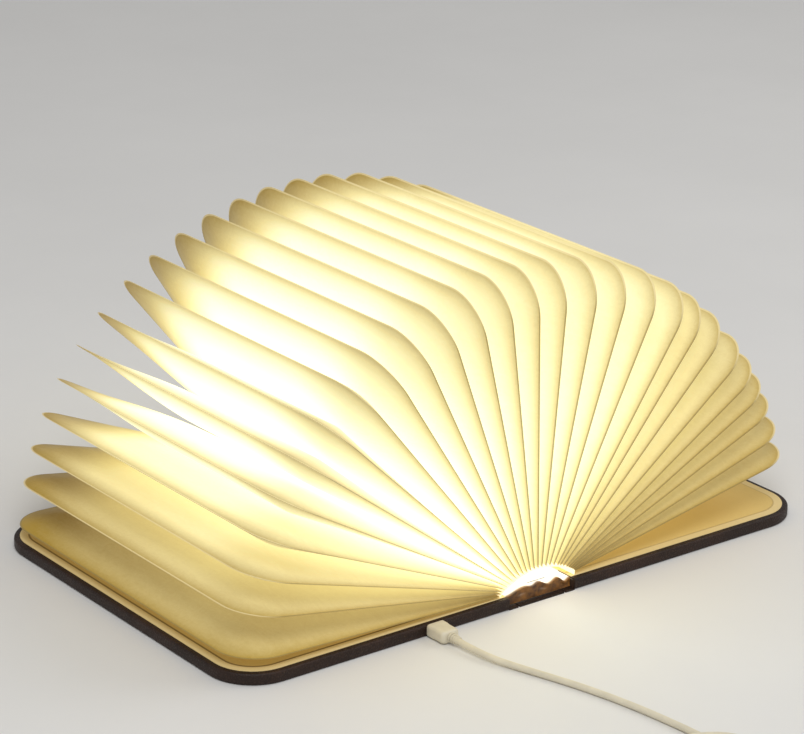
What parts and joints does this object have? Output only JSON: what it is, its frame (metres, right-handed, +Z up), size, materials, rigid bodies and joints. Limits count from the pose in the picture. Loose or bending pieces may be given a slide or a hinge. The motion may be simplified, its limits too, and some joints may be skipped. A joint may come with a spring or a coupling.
{
  "type": "folding book lamp",
  "caption": "Book-shaped lamp lying open, a fan of translucent paper leaves round a light tube between two leather-grained covers, on its charging lead.",
  "frame": {"origin": "on the table under the middle of the spine, halfway along it", "axes": "+X from the left cover (with the charging socket) to the right cover, +Y along the spine away from the charging edge, +Z up"},
  "size_m": [0.33, 0.4315, 0.1545],
  "materials": {
    "skin": "fine pebbled grain, satin",
    "board": "pressed grey board, matt",
    "lining_paper": "matt, lit from above",
    "leaf_paper": "smooth spun-bonded paper, translucent",
    "strip_brown": "smooth, slightly glossy",
    "cell_foil": "embossed pouch foil",
    "wire_red": "smooth insulation",
    "circuit_green": "solder mask",
    "chip_black": "moulded",
    "plated_steel": "nickel plated",
    "tongue_black": "moulded",
    "tongue_white": "moulded",
    "reed_glass": "clear tube",
    "magnet": "nickel plated",
    "lamp_board": "white solder mask",
    "led_phosphor": "phosphor gel",
    "diffuser_white": "frosted",
    "lead_cream": "smooth, satin",
    "tie_cream": "smooth"
  },
  "bodies": {
    "left_cover": {"left_cover_skin": "skin", "left_cover_board": "board", "left_lining": "lining_paper", "battery": "cell_foil", "battery_leads": "wire_red", "driver_board": "circuit_green", "board_parts": "chip_black", "usb_socket": "plated_steel", "usb_tongue": "tongue_black", "reed_switch": "reed_glass", "left_magnets": "magnet", "lamp_leads": "wire_red"},
    "spine": {"spine_skin": "skin", "spine_strip": "strip_brown", "led_board": "lamp_board", "leds": "led_phosphor", "diffuser": "diffuser_white", "fold_band": "leaf_paper"},
    "right_cover": {"right_cover_skin": "skin", "right_cover_board": "board", "right_lining": "lining_paper", "right_magnets": "magnet", "sensor_magnet": "magnet"},
    "leaf_01": {"leaf_01": "leaf_paper"},
    "leaf_02": {"leaf_02": "leaf_paper"},
    "leaf_03": {"leaf_03": "leaf_paper"},
    "leaf_04": {"leaf_04": "leaf_paper"},
    "leaf_05": {"leaf_05": "leaf_paper"},
    "leaf_06": {"leaf_06": "leaf_paper"},
    "leaf_07": {"leaf_07": "leaf_paper"},
    "leaf_08": {"leaf_08": "leaf_paper"},
    "leaf_09": {"leaf_09": "leaf_paper"},
    "leaf_10": {"leaf_10": "leaf_paper"},
    "leaf_11": {"leaf_11": "leaf_paper"},
    "leaf_12": {"leaf_12": "leaf_paper"},
    "leaf_13": {"leaf_13": "leaf_paper"},
    "leaf_14": {"leaf_14": "leaf_paper"},
    "leaf_15": {"leaf_15": "leaf_paper"},
    "leaf_16": {"leaf_16": "leaf_paper"},
    "leaf_17": {"leaf_17": "leaf_paper"},
    "leaf_18": {"leaf_18": "leaf_paper"},
    "leaf_19": {"leaf_19": "leaf_paper"},
    "leaf_20": {"leaf_20": "leaf_paper"},
    "leaf_21": {"leaf_21": "leaf_paper"},
    "leaf_22": {"leaf_22": "leaf_paper"},
    "leaf_23": {"leaf_23": "leaf_paper"},
    "leaf_24": {"leaf_24": "leaf_paper"},
    "leaf_25": {"leaf_25": "leaf_paper"},
    "leaf_26": {"leaf_26": "leaf_paper"},
    "leaf_27": {"leaf_27": "leaf_paper"},
    "charging_lead": {"micro_plug_grip": "lead_cream", "micro_plug_shell": "plated_steel", "micro_plug_relief": "lead_cream", "cable_run": "lead_cream", "cable_coil": "lead_cream", "coil_tie": "tie_cream", "usb_a_grip": "lead_cream", "usb_a_shell": "plated_steel", "usb_a_tongue": "tongue_white"}
  },
  "joints": [
    {"name": "cover_fold", "type": "hinge", "parent": "spine", "child": "right_cover", "pos_m": [0.0135, 0, 0.0004], "axis": [0, -1, 0], "range_deg": [-94, 90], "deforming": ["spine_strip", "fold_band"]},
    {"name": "spine_fold", "type": "hinge", "parent": "left_cover", "child": "spine", "pos_m": [-0.0135, 0, 0.0004], "axis": [0, -1, 0], "range_deg": [-94, 90], "deforming": ["lamp_leads", "spine_strip", "fold_band"]},
    {"name": "leaf_01_turn", "type": "hinge", "parent": "spine", "child": "leaf_01", "pos_m": [-0.0135, 0, 0.0004], "axis": [0, -1, 0], "range_deg": [-88.54, 92.45]},
    {"name": "leaf_02_turn", "type": "hinge", "parent": "spine", "child": "leaf_02", "pos_m": [-0.01246, 0, 0.0004], "axis": [0, -1, 0], "range_deg": [-80.44, 83.99]},
    {"name": "leaf_03_turn", "type": "hinge", "parent": "spine", "child": "leaf_03", "pos_m": [-0.01142, 0, 0.0004], "axis": [0, -1, 0], "range_deg": [-73.86, 77.12]},
    {"name": "leaf_04_turn", "type": "hinge", "parent": "spine", "child": "leaf_04", "pos_m": [-0.01038, 0, 0.0004], "axis": [0, -1, 0], "range_deg": [-67.25, 70.21]},
    {"name": "leaf_05_turn", "type": "hinge", "parent": "spine", "child": "leaf_05", "pos_m": [-0.00935, 0, 0.0004], "axis": [0, -1, 0], "range_deg": [-60.33, 62.99]},
    {"name": "leaf_06_turn", "type": "hinge", "parent": "spine", "child": "leaf_06", "pos_m": [-0.00831, 0, 0.0004], "axis": [0, -1, 0], "range_deg": [-53.42, 55.77]},
    {"name": "leaf_07_turn", "type": "hinge", "parent": "spine", "child": "leaf_07", "pos_m": [-0.00727, 0, 0.0004], "axis": [0, -1, 0], "range_deg": [-46.5, 48.54]},
    {"name": "leaf_08_turn", "type": "hinge", "parent": "spine", "child": "leaf_08", "pos_m": [-0.00623, 0, 0.0004], "axis": [0, -1, 0], "range_deg": [-39.18, 40.9]},
    {"name": "leaf_09_turn", "type": "hinge", "parent": "spine", "child": "leaf_09", "pos_m": [-0.00519, 0, 0.0004], "axis": [0, -1, 0], "range_deg": [-32.73, 34.17]},
    {"name": "leaf_10_turn", "type": "hinge", "parent": "spine", "child": "leaf_10", "pos_m": [-0.00415, 0, 0.0004], "axis": [0, -1, 0], "range_deg": [-26.41, 27.56]},
    {"name": "leaf_11_turn", "type": "hinge", "parent": "spine", "child": "leaf_11", "pos_m": [-0.00312, 0, 0.0004], "axis": [0, -1, 0], "range_deg": [-20.08, 20.95]},
    {"name": "leaf_12_turn", "type": "hinge", "parent": "spine", "child": "leaf_12", "pos_m": [-0.00208, 0, 0.0004], "axis": [0, -1, 0], "range_deg": [-13.75, 14.34]},
    {"name": "leaf_13_turn", "type": "hinge", "parent": "spine", "child": "leaf_13", "pos_m": [-0.00104, 0, 0.0004], "axis": [0, -1, 0], "range_deg": [-7.62, 7.94]},
    {"name": "leaf_14_turn", "type": "hinge", "parent": "spine", "child": "leaf_14", "pos_m": [0, 0, 0.0004], "axis": [0, -1, 0], "range_deg": [-1.5, 1.54]},
    {"name": "leaf_15_turn", "type": "hinge", "parent": "spine", "child": "leaf_15", "pos_m": [0.00104, 0, 0.0004], "axis": [0, -1, 0], "range_deg": [-5.87, 5.64]},
    {"name": "leaf_16_turn", "type": "hinge", "parent": "spine", "child": "leaf_16", "pos_m": [0.00208, 0, 0.0004], "axis": [0, -1, 0], "range_deg": [-13.23, 12.69]},
    {"name": "leaf_17_turn", "type": "hinge", "parent": "spine", "child": "leaf_17", "pos_m": [0.00312, 0, 0.0004], "axis": [0, -1, 0], "range_deg": [-20.59, 19.74]},
    {"name": "leaf_18_turn", "type": "hinge", "parent": "spine", "child": "leaf_18", "pos_m": [0.00415, 0, 0.0004], "axis": [0, -1, 0], "range_deg": [-28.48, 27.29]},
    {"name": "leaf_19_turn", "type": "hinge", "parent": "spine", "child": "leaf_19", "pos_m": [0.00519, 0, 0.0004], "axis": [0, -1, 0], "range_deg": [-36.42, 34.9]},
    {"name": "leaf_20_turn", "type": "hinge", "parent": "spine", "child": "leaf_20", "pos_m": [0.00623, 0, 0.0004], "axis": [0, -1, 0], "range_deg": [-41.83, 40.07]},
    {"name": "leaf_21_turn", "type": "hinge", "parent": "spine", "child": "leaf_21", "pos_m": [0.00727, 0, 0.0004], "axis": [0, -1, 0], "range_deg": [-48.37, 46.34]},
    {"name": "leaf_22_turn", "type": "hinge", "parent": "spine", "child": "leaf_22", "pos_m": [0.00831, 0, 0.0004], "axis": [0, -1, 0], "range_deg": [-55.87, 53.51]},
    {"name": "leaf_23_turn", "type": "hinge", "parent": "spine", "child": "leaf_23", "pos_m": [0.00935, 0, 0.0004], "axis": [0, -1, 0], "range_deg": [-61.69, 59.09]},
    {"name": "leaf_24_turn", "type": "hinge", "parent": "spine", "child": "leaf_24", "pos_m": [0.01038, 0, 0.0004], "axis": [0, -1, 0], "range_deg": [-66.65, 63.83]},
    {"name": "leaf_25_turn", "type": "hinge", "parent": "spine", "child": "leaf_25", "pos_m": [0.01142, 0, 0.0004], "axis": [0, -1, 0], "range_deg": [-71.69, 68.66]},
    {"name": "leaf_26_turn", "type": "hinge", "parent": "spine", "child": "leaf_26", "pos_m": [0.01246, 0, 0.0004], "axis": [0, -1, 0], "range_deg": [-77.65, 74.37]},
    {"name": "leaf_27_turn", "type": "hinge", "parent": "spine", "child": "leaf_27", "pos_m": [0.0135, 0, 0.0004], "axis": [0, -1, 0], "range_deg": [-83.62, 80.09]},
    {"name": "plug_pull", "type": "slide", "parent": "left_cover", "child": "charging_lead", "axis": [0, -1, 0], "range_m": [0, 0.012]}
  ],
  "couplings": [
    {"joint": "spine_fold", "follows": "cover_fold", "ratio": 1},
    {"joint": "leaf_01_turn", "follows": "cover_fold", "ratio": -0.97817},
    {"joint": "leaf_02_turn", "follows": "cover_fold", "ratio": -0.88819},
    {"joint": "leaf_03_turn", "follows": "cover_fold", "ratio": -0.81506},
    {"joint": "leaf_04_turn", "follows": "cover_fold", "ratio": -0.74163},
    {"joint": "leaf_05_turn", "follows": "cover_fold", "ratio": -0.66479},
    {"joint": "leaf_06_turn", "follows": "cover_fold", "ratio": -0.58795},
    {"joint": "leaf_07_turn", "follows": "cover_fold", "ratio": -0.51111},
    {"joint": "leaf_08_turn", "follows": "cover_fold", "ratio": -0.42976},
    {"joint": "leaf_09_turn", "follows": "cover_fold", "ratio": -0.35814},
    {"joint": "leaf_10_turn", "follows": "cover_fold", "ratio": -0.28785},
    {"joint": "leaf_11_turn", "follows": "cover_fold", "ratio": -0.21755},
    {"joint": "leaf_12_turn", "follows": "cover_fold", "ratio": -0.14726},
    {"joint": "leaf_13_turn", "follows": "cover_fold", "ratio": -0.07914},
    {"joint": "leaf_14_turn", "follows": "cover_fold", "ratio": -0.01111},
    {"joint": "leaf_15_turn", "follows": "cover_fold", "ratio": 0.05712},
    {"joint": "leaf_16_turn", "follows": "cover_fold", "ratio": 0.13543},
    {"joint": "leaf_17_turn", "follows": "cover_fold", "ratio": 0.21374},
    {"joint": "leaf_18_turn", "follows": "cover_fold", "ratio": 0.29771},
    {"joint": "leaf_19_turn", "follows": "cover_fold", "ratio": 0.38218},
    {"joint": "leaf_20_turn", "follows": "cover_fold", "ratio": 0.43965},
    {"joint": "leaf_21_turn", "follows": "cover_fold", "ratio": 0.50929},
    {"joint": "leaf_22_turn", "follows": "cover_fold", "ratio": 0.58902},
    {"joint": "leaf_23_turn", "follows": "cover_fold", "ratio": 0.651},
    {"joint": "leaf_24_turn", "follows": "cover_fold", "ratio": 0.70372},
    {"joint": "leaf_25_turn", "follows": "cover_fold", "ratio": 0.7573},
    {"joint": "leaf_26_turn", "follows": "cover_fold", "ratio": 0.82079},
    {"joint": "leaf_27_turn", "follows": "cover_fold", "ratio": 0.88429}
  ]
}
